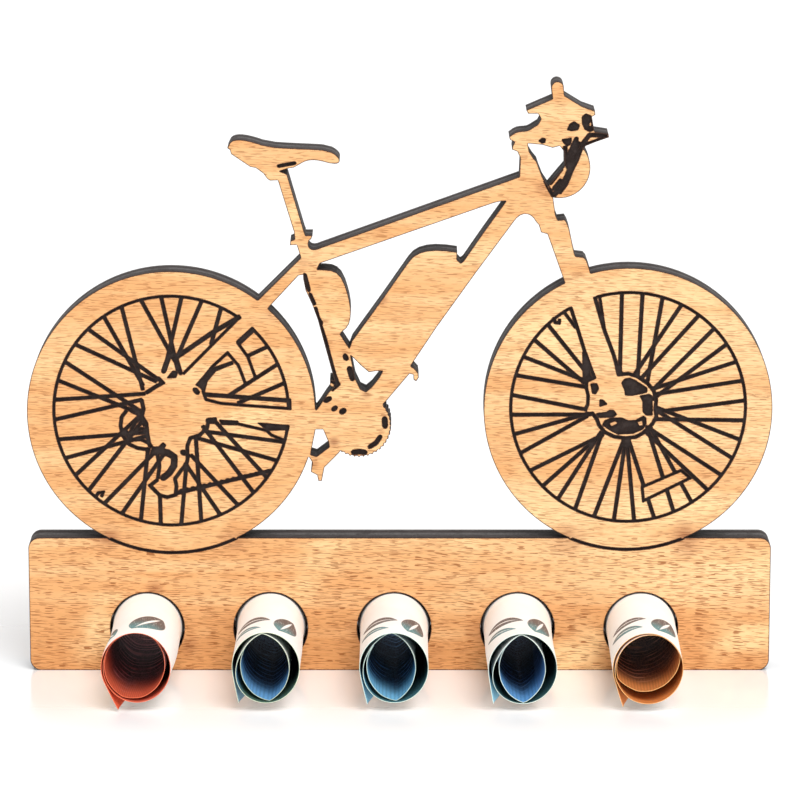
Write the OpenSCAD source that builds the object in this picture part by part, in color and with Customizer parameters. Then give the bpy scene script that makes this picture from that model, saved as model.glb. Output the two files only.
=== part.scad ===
// Bicycle gift board: a laser-cut plywood e-bike on a base strip with a row of holes, each
// holding one rolled note. X runs along the board, the engraved face looks toward -Y, Z is up.
// The origin is the middle of the base's bottom edge, halfway through the plywood.

/* [Base] */
// Length of the base strip
base_len = 200; // [165:1:260]
// Height of the base strip
base_h = 37; // [30:0.5:60]
// Radius of the base strip's corners
base_corner = 3; // [0.5:0.5:8]

/* [Plywood] */
// Thickness of the front and back beech veneers
veneer_t = 1.2; // [0.8:0.1:2]
// Thickness of each of the three inner plies
ply_t = 2.2; // [1:0.1:3.5]
// Depth of the engraved lines in the front veneer
engrave_depth = 0.5; // [0.2:0.1:0.6]

/* [Bicycle] */
// Distance between the two axles, which sets the size of the frame drawn between them
wheel_base = 122.2; // [100:0.2:150]
// Outer radius of both tyres
wheel_r = 38.6; // [30:0.2:47]
// Width of the tyre outside the engraved rim line
tyre_w = 7.2; // [4:0.1:10]
// How far the rear tyre dips into the base strip
wheel_sink = 4.1; // [1.5:0.1:8]
// How much higher the front axle is than the rear axle
front_rise = 0.9; // [0:0.1:1.4]

/* [Engraving] */
// Width of a spoke
spoke_w = 0.86; // [0.4:0.05:1.2]
// Width of the engraved outlines
line_w = 0.6; // [0.3:0.05:0.9]

/* [Note holes] */
// Bore of each note hole
hole_d = 20; // [14:0.1:26]
// Distance between neighbouring holes
hole_pitch = 33.35; // [28:0.05:40]
// How far the middle hole is from the middle of the base
row_shift = -1.5; // [-6:0.1:6]
// Wood left under each hole
hole_floor = 1.8; // [1:0.1:8]

/* [Rolled notes] */
// Gap between a roll and its hole, all round
roll_clear = 0.4; // [0.05:0.05:0.5]
// Thickness of the rolled paper
roll_wall = 0.7; // [0.4:0.1:2]
// How far each roll stands out in front of the board
roll_front = 40; // [20:0.5:50]
// Width of the first and smallest note, which is its roll's length
small_note = 67; // [60:0.5:90]
// Width of the three middle notes
middle_note = 72; // [60:0.5:90]
// Width of the last and largest note
large_note = 77; // [60:0.5:95]

/* [Hidden] */
$fn = 48;

board_t = 2 * veneer_t + 3 * ply_t;
front_y = -board_t / 2;
rear_axle = [-wheel_base / 2, base_h - wheel_sink + wheel_r];
front_axle = [wheel_base / 2, rear_axle[1] + front_rise];
rim_r = wheel_r - tyre_w;
hole_z = hole_floor + hole_d / 2;
roll_r = hole_d / 2 - roll_clear;
note_widths = [small_note, middle_note, middle_note, middle_note, large_note];

// The frame is drawn at this wheelbase, with the rear axle at this height
art_wheel_base = 122.2;
art_axle = 71.5;
art_scale = wheel_base / art_wheel_base;
spoke_step = 10;
rim_facet = 3.7;
reflector = [[65.1, 51.1], [75.5, 55.7], [78, 53.6], [65.5, 47.3]];

beech = "#E3B47E";
crossband = "#9C7A57";
cut = 1;

function hole_x(i) = row_shift + (i - 2) * hole_pitch;

// Points along an arc, from angle a to angle b
function arc(c, r, a, b, n = 12) =
    [for (i = [0:n]) c + r * [cos(a + (b - a) * i / n), sin(a + (b - a) * i / n)]];

// Points along a curve that leaves p toward q and reaches s from r
function bend(p, q, r, s, n = 8) =
    [for (i = [0:n]) let (t = i / n, u = 1 - t)
        u*u*u * p + 3*u*u*t * q + 3*u*t*t * r + t*t*t * s];

// A straight bar of width w from a to b
module bar(a, b, w) {
    d = b - a;
    translate(a) rotate(atan2(d[1], d[0])) translate([0, -w / 2]) square([norm(d), w]);
}

function unit(v) = v / norm(v);

// The two sides of a polyline of width w at its point i, mitred, with sharp turns cut short
function side(pts, i, w) =
    let (
        before = unit(pts[max(i, 1)] - pts[max(i, 1) - 1]),
        after = unit(pts[min(i, len(pts) - 2) + 1] - pts[min(i, len(pts) - 2)]),
        along = unit(before + after + [1e-6, 0]),
        reach = w / 2 / max(along * before, 0.6)
    )
    reach * [-along[1], along[0]];

// A polyline of width w with square ends
module stroke(pts, w = line_w) {
    last = len(pts) - 1;
    polygon(concat(
        [for (i = [0:last]) pts[i] + side(pts, i, w)],
        [for (i = [last:-1:0]) pts[i] - side(pts, i, w)]
    ));
}

// The outline of a closed shape, w wide
module rim_of(pts, w = line_w) {
    difference() {
        offset(delta = w / 2) polygon(pts);
        offset(delta = -w / 2) polygon(pts);
    }
}

// Part of a ring of width w, from angle a to angle b
module ring_part(c, r, a, b, w, n = 12) {
    polygon(concat(arc(c, r - w / 2, a, b, n), arc(c, r + w / 2, b, a, n)));
}

// Puts the frame's drawing between the axles
module place_art() {
    translate([0, rear_axle[1]]) scale(art_scale) translate([0, -art_axle]) children();
}

// ---- outline -----------------------------------------------------------------

module base_outline() {
    translate([-base_len / 2, 0]) offset(r = base_corner) offset(delta = -base_corner)
        square([base_len, base_h]);
}

module wheel_outline(axle) {
    translate(axle) circle(r = wheel_r, $fn = 144);
}

module saddle_outline() {
    polygon(concat(
        [[-45.5, 143.3]],
        bend([-44.8, 144.7], [-43.6, 146.1], [-40.5, 145.6], [-36.3, 144.1]),
        bend([-33, 143.5], [-28, 143.1], [-24, 143.1], [-20.4, 142.8]),
        bend([-18, 142.2], [-15.6, 141], [-15, 139.1], [-17.2, 139.1]),
        bend([-18.7, 139.3], [-23, 140.6], [-24.6, 140.2], [-26.7, 138.8]),
        [[-28, 138.1], [-29.4, 137.9], [-31.8, 137.1], [-29.8, 136.3], [-25, 119.8]],
        [[-27.7, 119.8], [-32.2, 134.7], [-34.3, 134.6], [-35, 135.1], [-36, 136.5]],
        [[-38, 138], [-39.5, 138.3], [-42, 140], [-44.5, 141.7], [-44.8, 142.8]]
    ));
}

module seat_clamp_outline() {
    polygon([
        [-29.1, 117.2], [-29, 118.3], [-27.8, 118.8], [-28, 120.5], [-25.1, 120.5], [-25, 119.8],
        [-23.1, 119.8], [-23.5, 118.8], [-24, 118.6], [-24.3, 117.4], [-21.5, 110],
        [-27, 109], [-26.2, 113.6], [-26.8, 115.7], [-27.3, 117.3]
    ]);
}

module seat_stay_outline() {
    polygon([[-26, 114], [-37, 103], [-48, 92], [-43, 91], [-34.6, 100.6], [-25.6, 110.4]]);
}

// Top tube, head tube, down tube with its battery, and the seat tube with its damper
module main_frame_outline() {
    polygon(concat(
        [[-24.5, 118]],
        bend([-24.3, 117.3], [-24, 115.8], [-22.6, 115.7], [-21, 116.5], 5),
        [[31.7, 135.6], [31.9, 140.6], [31.1, 142.4], [29.7, 142.9], [29.8, 143.8], [30.4, 144.9]],
        [[31, 147], [34.2, 147], [33.9, 144.2], [34.2, 142.4], [35.2, 140.8], [36.3, 139.5], [36.9, 137.7]],
        [[37.9, 135.2], [39.3, 133.1], [40.6, 130.2], [41.3, 125.4], [41.9, 123.9], [43.8, 124.1]],
        bend([43.8, 124.1], [45.2, 122.6], [45.6, 117.6], [46.6, 114.2], 6),
        [[48.9, 113.9], [49.6, 113.1], [50.4, 110.8], [54, 98], [48, 96]],
        [[43.6, 107.9], [40, 118], [39.2, 120.2], [37.5, 120.7], [36.9, 122.7], [36, 123.7]],
        bend([35.6, 124.4], [34.2, 126.2], [31.9, 126.3], [30, 123.2], 6),
        [[20, 109.4], [9.8, 94.9], [3, 84.5], [2.9, 82.6], [-3.4, 75], [-12, 66], [-19, 64]],
        [[-20.5, 67], [-22.5, 67], [-26, 66], [-26, 75], [-22.3, 72.3]],
        bend([-22.3, 72.3], [-20.6, 74.3], [-19.6, 77], [-17.6, 78.6], 5),
        [[-18.6, 78.9], [-18.6, 80.6], [-17.4, 80.4], [-18.9, 86.1], [-21.8, 97]],
        [[-23.2, 101], [-25, 105], [-25.6, 108], [-25.8, 111]]
    ));
}

// Open triangle between the top tube, the damper and the battery
module main_window() {
    polygon(concat(
        [[-21.2, 112.3], [22, 127.6]],
        bend([24, 128.3], [26, 129], [27, 129.1], [28.2, 129.1], 4),
        [[22.2, 120.6], [16.9, 112.8], [16.2, 112.3], [15.2, 113.3], [15.3, 115.3]],
        bend([15.3, 115.3], [9, 116.4], [4.4, 116], [2.3, 112.6], 6),
        [[-4.8, 102.3], [-12.7, 91.2], [-13.4, 89.2], [-15.9, 93.1], [-15.3, 93.8]],
        bend([-15.3, 93.8], [-12, 95.6], [-12.7, 101.2], [-14.6, 106.6], 8),
        bend([-14.6, 106.6], [-16.2, 110.7], [-18, 110.5], [-22, 110.6], 5)
    ));
}

// Small opening between the seat tube and the battery
module lower_window() {
    polygon([
        [-13.1, 87.3], [-12.3, 86.6], [-10.4, 84.6], [-8.2, 82.7], [-6.4, 83], [-4.5, 83],
        [-5.4, 81.3], [-7.4, 78.7], [-9, 77.3], [-10.5, 78], [-11.9, 81.1]
    ]);
}

module handlebar_outline() {
    polygon(concat(
        [[30.4, 144.9], [29.1, 145.6], [28.9, 146.3]],
        bend([30, 147.1], [31.6, 148.3], [33.3, 147.3], [34.6, 148.4], 5),
        [[36.5, 149.6], [37.3, 151.1], [36.5, 152.5], [33.9, 152.5], [33.4, 153.4], [40.3, 156.4]],
        arc([41.6, 159.4], 1.65, 190, -10, 10),
        [[43.4, 157.3], [48.1, 154.4], [51.5, 153.2], [51.6, 152.2], [50.7, 151.7], [51.4, 147.7]],
        [[55.1, 147.1], [55.3, 146.2], [51.9, 145], [49.2, 143.9]],
        [[43.6, 138.5], [43.5, 142.3], [42.3, 143.9], [40.4, 143.4], [37.7, 144.2]]
    ));
}

// Round lamp in front of the head tube, with its slanting upper edge
module lamp_outline() {
    intersection() {
        translate([42.3, 138]) circle(r = 8.1, $fn = 64);
        polygon([[39.3, 133.2], [43.6, 138.4], [43.4, 146], [54, 150], [54, 128], [40, 128]]);
    }
}

// Toothed motor cover below the bottom bracket
module motor_outline() {
    teeth = 44;
    translate([-10.9, 68.1]) union() {
        circle(r = 8.4, $fn = 2 * teeth);
        for (i = [0:teeth - 1])
            rotate(i * 360 / teeth) translate([8, 0])
                polygon([[0, -0.4], [0.65, -0.2], [0.65, 0.2], [0, 0.4]]);
    }
}

module crank_outline() {
    polygon([
        [-27, 62], [-24.1, 59.1], [-23.4, 57.9], [-23.8, 55.3], [-22.1, 54.4], [-21.8, 52.8],
        [-20.9, 52.8], [-20.2, 56.5], [-16.4, 60.4], [-12, 66], [-24, 68]
    ]);
}

module crank_window() {
    polygon([
        [-22.5, 67], [-20.5, 67], [-19.1, 63.6], [-18.8, 62.2], [-20.2, 61.1], [-22.3, 59.5],
        [-23.9, 60]
    ]);
}

module cable_hook() {
    polygon([
        [2.2, 84.6], [3.7, 83.9], [4.9, 82.6], [5.1, 81.2], [4.4, 80.2], [3.7, 80.7], [3.7, 82],
        [2.2, 82.4]
    ]);
}

// The whole cut outline, merged into one shape
module board_outline() {
    offset(delta = 0) {
        base_outline();
        wheel_outline(rear_axle);
        wheel_outline(front_axle);
        place_art() difference() {
            union() {
                saddle_outline();
                seat_clamp_outline();
                seat_stay_outline();
                main_frame_outline();
                handlebar_outline();
                lamp_outline();
                motor_outline();
                crank_outline();
                cable_hook();
            }
            main_window();
            lower_window();
            crank_window();
        }
    }
}

// ---- engraving ---------------------------------------------------------------

// A point of the frame's drawing, in its place on the board
function drawn(p) = [art_scale * p[0], rear_axle[1] + art_scale * (p[1] - art_axle)];

// Evenly spaced spokes from angle start on, each to its own end near the hub
module spokes(centre, start, ends) {
    for (i = [0:len(ends) - 1])
        let (angle = start + i * spoke_step)
            bar(centre + rim_r * [cos(angle), sin(angle)], drawn(ends[i]), spoke_w);
}

// A stroke with blunt round ends
module slot(pts, w) {
    stroke(pts, w);
    for (p = [pts[0], pts[len(pts) - 1]])
        translate(p) circle(d = 0.9 * w, $fn = 10);
}

// Rim line between two angles
module rim_line(centre, first, last) {
    ring_part(centre, rim_r, first, last, line_w, ceil((last - first) / rim_facet));
}

module rear_wheel_engraving() {
    centre = rear_axle + [0, 0.5];
    rim_line(centre, 55, 353);
    rim_line(centre, 2, 46);
    spokes(centre, 64.3, [
        [-50.3, 90.2], [-59.6, 86.2], [-62.6, 83.8], [-59.2, 83], [-59.9, 85.6], [-68.6, 77.8],
        [-68.5, 79], [-64.3, 80.6], [-64.9, 80.1], [-69.3, 72], [-70, 71.6], [-68, 76.8],
        [-68.8, 75.2], [-67.5, 66.2], [-67.6, 65.2], [-69, 71.2], [-68.3, 70], [-64.8, 61.6],
        [-62.9, 60.6], [-67.4, 62], [-64.4, 49], [-57.2, 57.2], [-54.6, 65], [-57.6, 57.8],
        [-56, 60], [-52.8, 68], [-49.2, 69], [-55.2, 64.9], [-51.2, 66.3]
    ]);
    spokes(centre, 14.3, [[-43.3, 74.2], [-45.8, 76.2], [-40.6, 87.1]]);
    place_art() {
        rear_stays_engraving();
        rear_hub_engraving();
        derailleur_engraving();
    }
}

module rear_stays_engraving() {
    // Seat stay crossing the spokes
    stroke([[-42.4, 97.9], [-50, 93.4], [-59.2, 87]], 1.1);
    stroke([[-42.4, 97.9], [-57.8, 82.2]]);
    slot([[-61.2, 88], [-63, 82.9]], 1.2);
    slot([[-59.6, 86.4], [-58.5, 82.4]], 1);
    polygon([[-62.1, 81.1], [-61.2, 82.3], [-60.4, 83.1], [-59.3, 82.7], [-59.7, 81.2]]);
    // Mudguard bracket
    stroke([[-38.8, 94.6], [-43.1, 90.6]], 1.3);
    stroke([[-38.8, 94.6], [-43.1, 90.6], [-40.5, 86.9], [-38.5, 81.2]]);
    stroke([[-54.1, 79], [-50, 84.2], [-45.9, 88], [-43, 84.5], [-41.1, 79.3]]);
    polygon([
        [-54.5, 79.2], [-50.7, 83.6], [-44.7, 85.7], [-44.4, 84.9], [-49.1, 83], [-51.4, 80.2],
        [-52.2, 77.1], [-53.4, 78.6]
    ]);
    slot([[-54.7, 77.9], [-54, 77.1]], 1.2);
    // Chain stay, above and below
    stroke([[-52.6, 77.6], [-51.8, 75.2], [-48, 74.2], [-42.7, 73.7], [-29.3, 72.7], [-29.4, 75.4]]);
    stroke([[-52.2, 76.6], [-29.4, 74.9]], 1);
    polygon([[-48.3, 69.6], [-43.2, 69.3], [-43.5, 68.2], [-47.6, 68.3]]);
    stroke([[-44, 68.7], [-35.6, 66.7], [-34.4, 65.5], [-31, 64]]);
    polygon([[-38, 68.8], [-29.5, 68.1], [-29.7, 66.9], [-35.3, 66.7]]);
}

module rear_hub_engraving() {
    // Edge of the plain patch round the hub
    stroke([[-64.6, 81.2], [-63.3, 79.8], [-65.2, 78.7], [-67.8, 77]], 0.9);
    stroke([
        [-69, 75.2], [-68.5, 72.6], [-69, 70.6], [-67.8, 68.6], [-67.6, 66], [-67.1, 62.9],
        [-66.4, 62.1]
    ], 0.9);
    stroke([
        [-56.9, 59.4], [-56.9, 62.4], [-56.1, 64.6], [-53.6, 65.4], [-51.6, 67.3], [-51.1, 69.6],
        [-49, 69.9]
    ], 0.8);
    slot([[-51.2, 69.4], [-49.6, 69.3]], 1.5);
    // Sprockets behind the hub
    stroke([
        [-73, 72.2], [-74.4, 70.4], [-74.7, 68], [-74.2, 65.4], [-72.5, 62.9], [-70, 61.8],
        [-66.9, 61.4]
    ], 0.8);
    slot([[-71.8, 72.4], [-69.2, 71.2]], 1.4);
    slot([[-73.6, 66.6], [-71.9, 64.1]], 1.2);
    stroke([[-72.2, 66], [-70.6, 69.2], [-69.4, 69.9], [-68.2, 68]], 0.8);
    stroke([[-73, 65.8], [-69, 67.2], [-67.7, 66.6]], 0.8);
    stroke([[-72.4, 64], [-69.2, 64.2], [-67.2, 63.2]], 0.7);
}

// Rear derailleur with its cage, pulley and the lower run of the chain
module derailleur_engraving() {
    polygon([
        [-66.8, 60.4], [-66.2, 62.2], [-64.6, 62.2], [-63.4, 63.4], [-62.6, 62.7], [-63.2, 61.6],
        [-61.8, 61.4], [-59.6, 59.8], [-60.6, 58.7], [-63.5, 60.2], [-65.4, 59.9]
    ]);
    slot([[-60.4, 59.4], [-60.5, 57], [-61.8, 55], [-63.5, 53.6]], 1.6);
    stroke([[-65, 60.4], [-64.4, 57], [-64.9, 53.4]], 0.8);
    polygon([[-58.8, 60.9], [-58.2, 61.4], [-57.4, 61.1], [-57.1, 60.3], [-57.7, 59.8], [-58.5, 60.1]]);
    stroke([
        [-64.9, 53.2], [-66, 52.3], [-67, 51.5], [-65.6, 50], [-64.4, 48.8], [-62.4, 48.3],
        [-60.2, 48.9], [-59.9, 51.4], [-60.3, 53.4], [-58.7, 55.6], [-57.1, 57.6], [-56.6, 60.2]
    ], 0.8);
    stroke([[-60.2, 49.3], [-34.4, 55.65]], 0.9);
    for (t = [0.06:0.06:0.97])
        translate([-60.2, 49.6] + t * [26, 6.1]) circle(d = 1.25, $fn = 6);
    // Valve
    stroke([[-81.8, 48.3], [-80.9, 49.5], [-79.6, 49.7], [-80.1, 48.4]], 0.7);
}

module reflector_outline() {
    polygon(reflector);
}

module front_wheel_engraving() {
    centre = front_axle + [0, 0.6];
    rim_line(centre, 120, 466);
    difference() {
        spokes(centre, 133.6, [
            [51.3, 80.8], [49.5, 79.6], [50, 80.2], [50, 78.6], [50.1, 72.4], [51.2, 71.1],
            [50.6, 71.4], [50.3, 70.7], [54.6, 65.6], [54.6, 66.2], [54, 66.4], [54.2, 66],
            [60.2, 64.5], [60.6, 64.8], [60.8, 64.8], [61.2, 64.6], [66.4, 67.3], [66.9, 67.9],
            [65.4, 66.8], [66, 67.8], [68.4, 72.4], [68.5, 73.1], [68.3, 69.8], [68.6, 71.8],
            [67.9, 76.6], [67.6, 78.1], [67.5, 75.2], [67.4, 77.6], [64.7, 81.2], [62.8, 82.2],
            [66.2, 80.2], [63.6, 81.6], [58.8, 82.2]
        ]);
        place_art() reflector_outline();
    }
    place_art() {
        rim_of(reflector);
        fork_engraving();
        disc_engraving();
        // Valve
        stroke([[40.9, 97.6], [41.5, 96.2], [42.5, 96.1], [42.6, 97.2]], 0.7);
    }
}

module fork_engraving() {
    stroke([[51.9, 103.2], [54.4, 94.6], [57.1, 87.4], [58.6, 82.2]], 0.8);
    stroke([[53.2, 103.4], [54.6, 94.2]]);
    polygon([[56.7, 87.9], [58.5, 84.4], [60, 81.8], [58.1, 81.7]]);
    stroke([[45.5, 100.4], [47.4, 94.6], [49.4, 88.2], [52, 81.2], [50, 80.3]], 0.75);
    stroke([[43.7, 99.2], [46.9, 94.8]], 0.7);
    polygon([[48.8, 88.3], [50, 87.9], [50.8, 84], [50.9, 80.6], [49, 80.4]]);
}

// Brake disc: its wavy edge, the vents between its arms and the caliper beside it
module disc_engraving() {
    stroke([
        [58.3, 82], [61, 82.3], [63.4, 81.6], [66.3, 79.6], [67.9, 77.6], [68.6, 75],
        [68.4, 72.6], [68.7, 70.5], [67.7, 68.6], [65.9, 66.4], [63.2, 64.9], [60.4, 64.6],
        [57.5, 65], [55, 66.2], [53.4, 68.1], [52.8, 69.8], [51.6, 71.4], [50, 71.2]
    ], 0.8);
    polygon([
        [59.3, 79.8], [60.1, 80.8], [61.5, 81.1], [63, 80.4], [66.1, 78.4], [66.1, 77.2],
        [64.5, 76.8], [62.1, 76.3], [60.3, 76.4], [60.2, 77.6]
    ]);
    polygon([
        [64.2, 76.2], [66.8, 76.7], [67.5, 76.1], [67.6, 70.9], [66, 70.9], [65.1, 71.8], [65, 74.8]
    ]);
    difference() {
        polygon([
            [54.3, 68.2], [54.9, 69.4], [56.5, 70.1], [59.3, 70.2], [61.2, 69.4], [63.2, 69.5],
            [65.2, 70.7], [65.9, 70.2], [66, 68.4], [65, 67], [62.5, 65.9], [58.5, 65.7], [56.8, 66.5]
        ]);
        polygon([[56, 68.7], [57.7, 69.4], [58.5, 68.7], [56.7, 67.7]]);
        polygon([[63.5, 69], [65, 69.5], [65.2, 68.1], [64.1, 67.9]]);
    }
    polygon([
        [52.6, 71.4], [55.3, 71.7], [56.2, 72.3], [57.3, 72.2], [58.1, 71.1], [57.2, 70.4], [53.4, 70.2]
    ]);
    polygon([[51, 79.5], [52.7, 79.6], [53.2, 78.2], [52.4, 76.7], [51.5, 76.9], [51.3, 78.2]]);
    polygon([[53.5, 75.2], [54.4, 75.1], [55.5, 73.9], [53.5, 73.3]]);
    stroke([[49.9, 80.3], [49.9, 78.3], [50.4, 76.3], [50.3, 73.8], [49.5, 72.2]], 0.7);
}

module frame_engraving() {
    // Saddle rail
    slot([[-32, 138.5], [-27.7, 139.3]], 0.8);
    // Scorched edge of the seat tube
    polygon([
        [-25.5, 109.7], [-24.8, 109.4], [-24.3, 107.5], [-23.7, 105], [-24.2, 104.5],
        [-25.2, 106.4]
    ]);
    polygon([[-24.1, 104.3], [-23.5, 104.2], [-22.2, 101.3], [-22.8, 100.9], [-23.6, 102.4]]);
    stroke([
        [-22.5, 100.4], [-21.4, 96.4], [-19.9, 91.7], [-18.5, 86.1], [-17.4, 82], [-16.4, 79.2]
    ], 0.9);
    slot([[-21.6, 97], [-21, 96]], 1.2);
    stroke([[-18.3, 80.4], [-16.5, 79.3], [-18.2, 77.8]], 0.9);
    // Bottle bosses and bolt heads
    polygon([[-15.1, 87.3], [-14.6, 87.8], [-14, 87.4], [-13.6, 86.4], [-14.1, 85.8], [-14.9, 86.2]]);
    slot([[-13.4, 83.7], [-12.6, 80.9]], 1.3);
    slot([[-19.8, 74.9], [-18.7, 75.5]], 1.2);
    slot([[-17.7, 72.5], [-17.1, 73]], 1.1);
    slot([[-15.5, 71.8], [-14.9, 72.2]], 1.4);
    // Slots in the motor cover
    slot([[-4, 69.9], [-3.9, 67.9]], 1.4);
    slot([[-5.2, 65], [-6.3, 63.3], [-8, 62.2]], 1.1);
    slot([[-12.4, 60.7], [-10.6, 60.9], [-9.3, 60.7]], 1.3);
}

module handlebar_engraving() {
    polygon([[44.2, 148.2], [44.9, 149.7], [46, 150.4], [47.5, 149.4], [47, 148.2], [45.4, 147.9]]);
    difference() {
        polygon([
            [48.1, 151.6], [49.1, 152.5], [50.2, 152], [51.2, 151.7], [51.1, 148], [50.2, 147.7],
            [48.9, 148.3], [48.2, 149.8]
        ]);
        polygon([[50.4, 150.6], [49.8, 149.4], [50.5, 148.9], [50.7, 149.8]]);
    }
    polygon([[36.7, 145.2], [37.6, 146], [38.5, 145.8], [38.4, 144.8], [37.6, 144.6]]);
    polygon([[42.8, 145.6], [45.4, 146], [45.1, 144.3], [44.2, 143.8], [43.3, 144.7]]);
    // Brake lever
    stroke([[47.9, 144], [50.1, 146.8], [54.8, 146.7]], 1);
    stroke([[48, 143.9], [51, 144.9], [53.9, 146]], 0.8);
    // Cables
    slot([[46.7, 145.8], [45.2, 142.4], [43.4, 138.7], [39.8, 133.9]], 1.1);
    stroke([[47.3, 145], [45.9, 140.6], [44.3, 136], [42.5, 132.4], [40.7, 130.6]], 1.1);
    stroke([
        [49.6, 146.2], [48.1, 143.8], [46.9, 140.3], [45.4, 137.2], [44, 133.6], [42.2, 131.2]
    ], 0.9);
    stroke([[43.7, 143.8], [43.9, 139.2]], 1);
    stroke([[46.9, 143.2], [45.4, 140.4], [44.6, 137.8]], 1.4);
    stroke([[42.9, 134.8], [41.1, 132.6], [40.9, 131.9]], 1.2);
    stroke([[37.6, 136.4], [39.4, 132.6], [40.9, 130]], 0.8);
}

// Tyre outlines where they run over the base strip
module tyre_on_base_engraving() {
    intersection() {
        union() {
            ring_part(rear_axle, wheel_r, 200, 340, 0.65, 56);
            ring_part(front_axle, wheel_r, 200, 340, 0.65, 56);
        }
        translate([-base_len / 2, 0]) square([base_len, base_h]);
    }
}

// All engraved lines, kept a little way in from the edge
module engraving() {
    edge_land = 0.25;
    intersection() {
        union() {
            rear_wheel_engraving();
            front_wheel_engraving();
            place_art() frame_engraving();
            place_art() handlebar_engraving();
            tyre_on_base_engraving();
        }
        offset(delta = -edge_land) board_outline();
    }
}

// ---- solids ------------------------------------------------------------------

// A plane shape drawn in X and Z, t thick, with its front face at y
module standing(y, t) {
    translate([0, y + t, 0]) rotate([90, 0, 0]) linear_extrude(t) children();
}

module note_holes() {
    for (i = [0:4])
        translate([hole_x(i), front_y - cut, hole_z])
            rotate([-90, 0, 0]) cylinder(d = hole_d, h = board_t + 2 * cut);
}

module layer(y, t) {
    difference() {
        standing(y, t) board_outline();
        note_holes();
    }
}

module front_veneer() {
    color(beech) difference() {
        layer(front_y, veneer_t);
        standing(front_y - cut, cut + engrave_depth) engraving();
    }
}

module front_cross_ply() {
    color(crossband) layer(front_y + veneer_t, ply_t);
}

module core_ply() {
    color(beech) layer(front_y + veneer_t + ply_t, ply_t);
}

module rear_cross_ply() {
    color(crossband) layer(front_y + veneer_t + 2 * ply_t, ply_t);
}

module back_veneer() {
    color(beech) layer(front_y + veneer_t + 3 * ply_t, veneer_t);
}

// One note rolled into a tube that slides in hole i
module rolled_note(i) {
    translate([hole_x(i), front_y - roll_front, hole_z]) rotate([-90, 0, 0]) difference() {
        cylinder(r = roll_r, h = note_widths[i]);
        translate([0, 0, -cut]) cylinder(r = roll_r - roll_wall, h = note_widths[i] + 2 * cut);
    }
}

module rolled_note_1() { color("#E9DFD6") rolled_note(0); }
module rolled_note_2() { color("#DFE6E6") rolled_note(1); }
module rolled_note_3() { color("#DFE6E6") rolled_note(2); }
module rolled_note_4() { color("#DFE6E6") rolled_note(3); }
module rolled_note_5() { color("#EFE2CC") rolled_note(4); }

front_veneer();
front_cross_ply();
core_ply();
rear_cross_ply();
back_veneer();
rolled_note_1();
rolled_note_2();
rolled_note_3();
rolled_note_4();
rolled_note_5();
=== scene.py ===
"""Finishes a plywood bicycle gift board: charred beech, five rolled notes and a studio."""
import math

import bpy
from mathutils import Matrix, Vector


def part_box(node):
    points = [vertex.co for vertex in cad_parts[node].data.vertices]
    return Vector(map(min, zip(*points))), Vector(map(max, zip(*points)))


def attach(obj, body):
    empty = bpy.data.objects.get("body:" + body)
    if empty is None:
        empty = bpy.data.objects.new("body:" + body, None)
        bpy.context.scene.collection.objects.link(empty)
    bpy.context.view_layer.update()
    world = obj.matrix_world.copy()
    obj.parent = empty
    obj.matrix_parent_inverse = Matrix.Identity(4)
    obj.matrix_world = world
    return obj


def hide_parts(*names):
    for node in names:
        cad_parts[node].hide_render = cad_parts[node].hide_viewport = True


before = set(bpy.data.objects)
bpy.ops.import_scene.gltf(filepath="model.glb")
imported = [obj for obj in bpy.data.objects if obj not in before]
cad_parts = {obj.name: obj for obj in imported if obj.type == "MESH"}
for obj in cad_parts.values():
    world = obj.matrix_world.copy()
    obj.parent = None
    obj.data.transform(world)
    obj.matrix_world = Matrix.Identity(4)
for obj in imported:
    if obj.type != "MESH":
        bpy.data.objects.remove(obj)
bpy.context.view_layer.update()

bl_info = {
    "name": "Bicycle Gift Board",
    "version": (1, 0, 0),
    "blender": (4, 5, 0),
    "location": "3D View > Sidebar > Gift Board",
    "description": "Finishes a laser-cut plywood bicycle board and its rolled notes",
    "category": "Add Mesh",
}

MM = 0.001

NOTE_NODES = [f"rolled_note_{number}" for number in range(1, 6)]
NOTE_LOW, NOTE_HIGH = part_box(NOTE_NODES[0])

FRONT_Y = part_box("front_veneer")[0].y
BACK_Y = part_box("back_veneer")[1].y
NOTE_RADIUS = (NOTE_HIGH.x - NOTE_LOW.x) / 2
HALF_BASE = 100 * MM
BASE_TOP = 37 * MM
GROOVE_DEPTH = 0.5 * MM
HOLE_TOP = NOTE_HIGH.z + 1 * MM


def linear(red, green, blue):
    """A colour given in screen values from 0 to 255, as linear light."""
    def channel(value):
        value /= 255
        return value / 12.92 if value <= 0.04045 else ((value + 0.055) / 1.055) ** 2.4
    return (channel(red), channel(green), channel(blue))


# ---- sizes and colours ---------------------------------------------------------


class GiftBoardWood(bpy.types.PropertyGroup):
    light_beech: bpy.props.FloatVectorProperty(
        name="Light beech", description="Colour of the palest wood", subtype="COLOR",
        default=linear(246, 203, 150), min=0, max=1)
    # Warm beech is also the colour that the painted shade on the left and at the foot drifts to
    warm_beech: bpy.props.FloatVectorProperty(
        name="Warm beech", description="Colour of the reddest wood", subtype="COLOR",
        default=linear(230, 170, 112), min=0, max=1)
    fleck: bpy.props.FloatVectorProperty(
        name="Ray flecks", description="Colour of the short dark flecks", subtype="COLOR",
        default=linear(150, 88, 42), min=0, max=1)
    smoke: bpy.props.FloatVectorProperty(
        name="Smoke stain", description="Colour that the laser's smoke leaves", subtype="COLOR",
        default=linear(140, 74, 24), min=0, max=1)
    char: bpy.props.FloatVectorProperty(
        name="Char", description="Colour of burnt edges and engraved lines", subtype="COLOR",
        default=linear(30, 16, 11), min=0, max=1)
    scorch_width: bpy.props.FloatProperty(
        name="Scorched rim", description="Width of the scorched rim beside every cut",
        default=0.36 * MM, min=0.1 * MM, max=1.5 * MM, unit="LENGTH", precision=5)
    fleck_length: bpy.props.FloatProperty(
        name="Fleck length", description="Typical length of a ray fleck", default=3.1 * MM,
        min=0.5 * MM, max=10 * MM, unit="LENGTH", precision=4)


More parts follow.
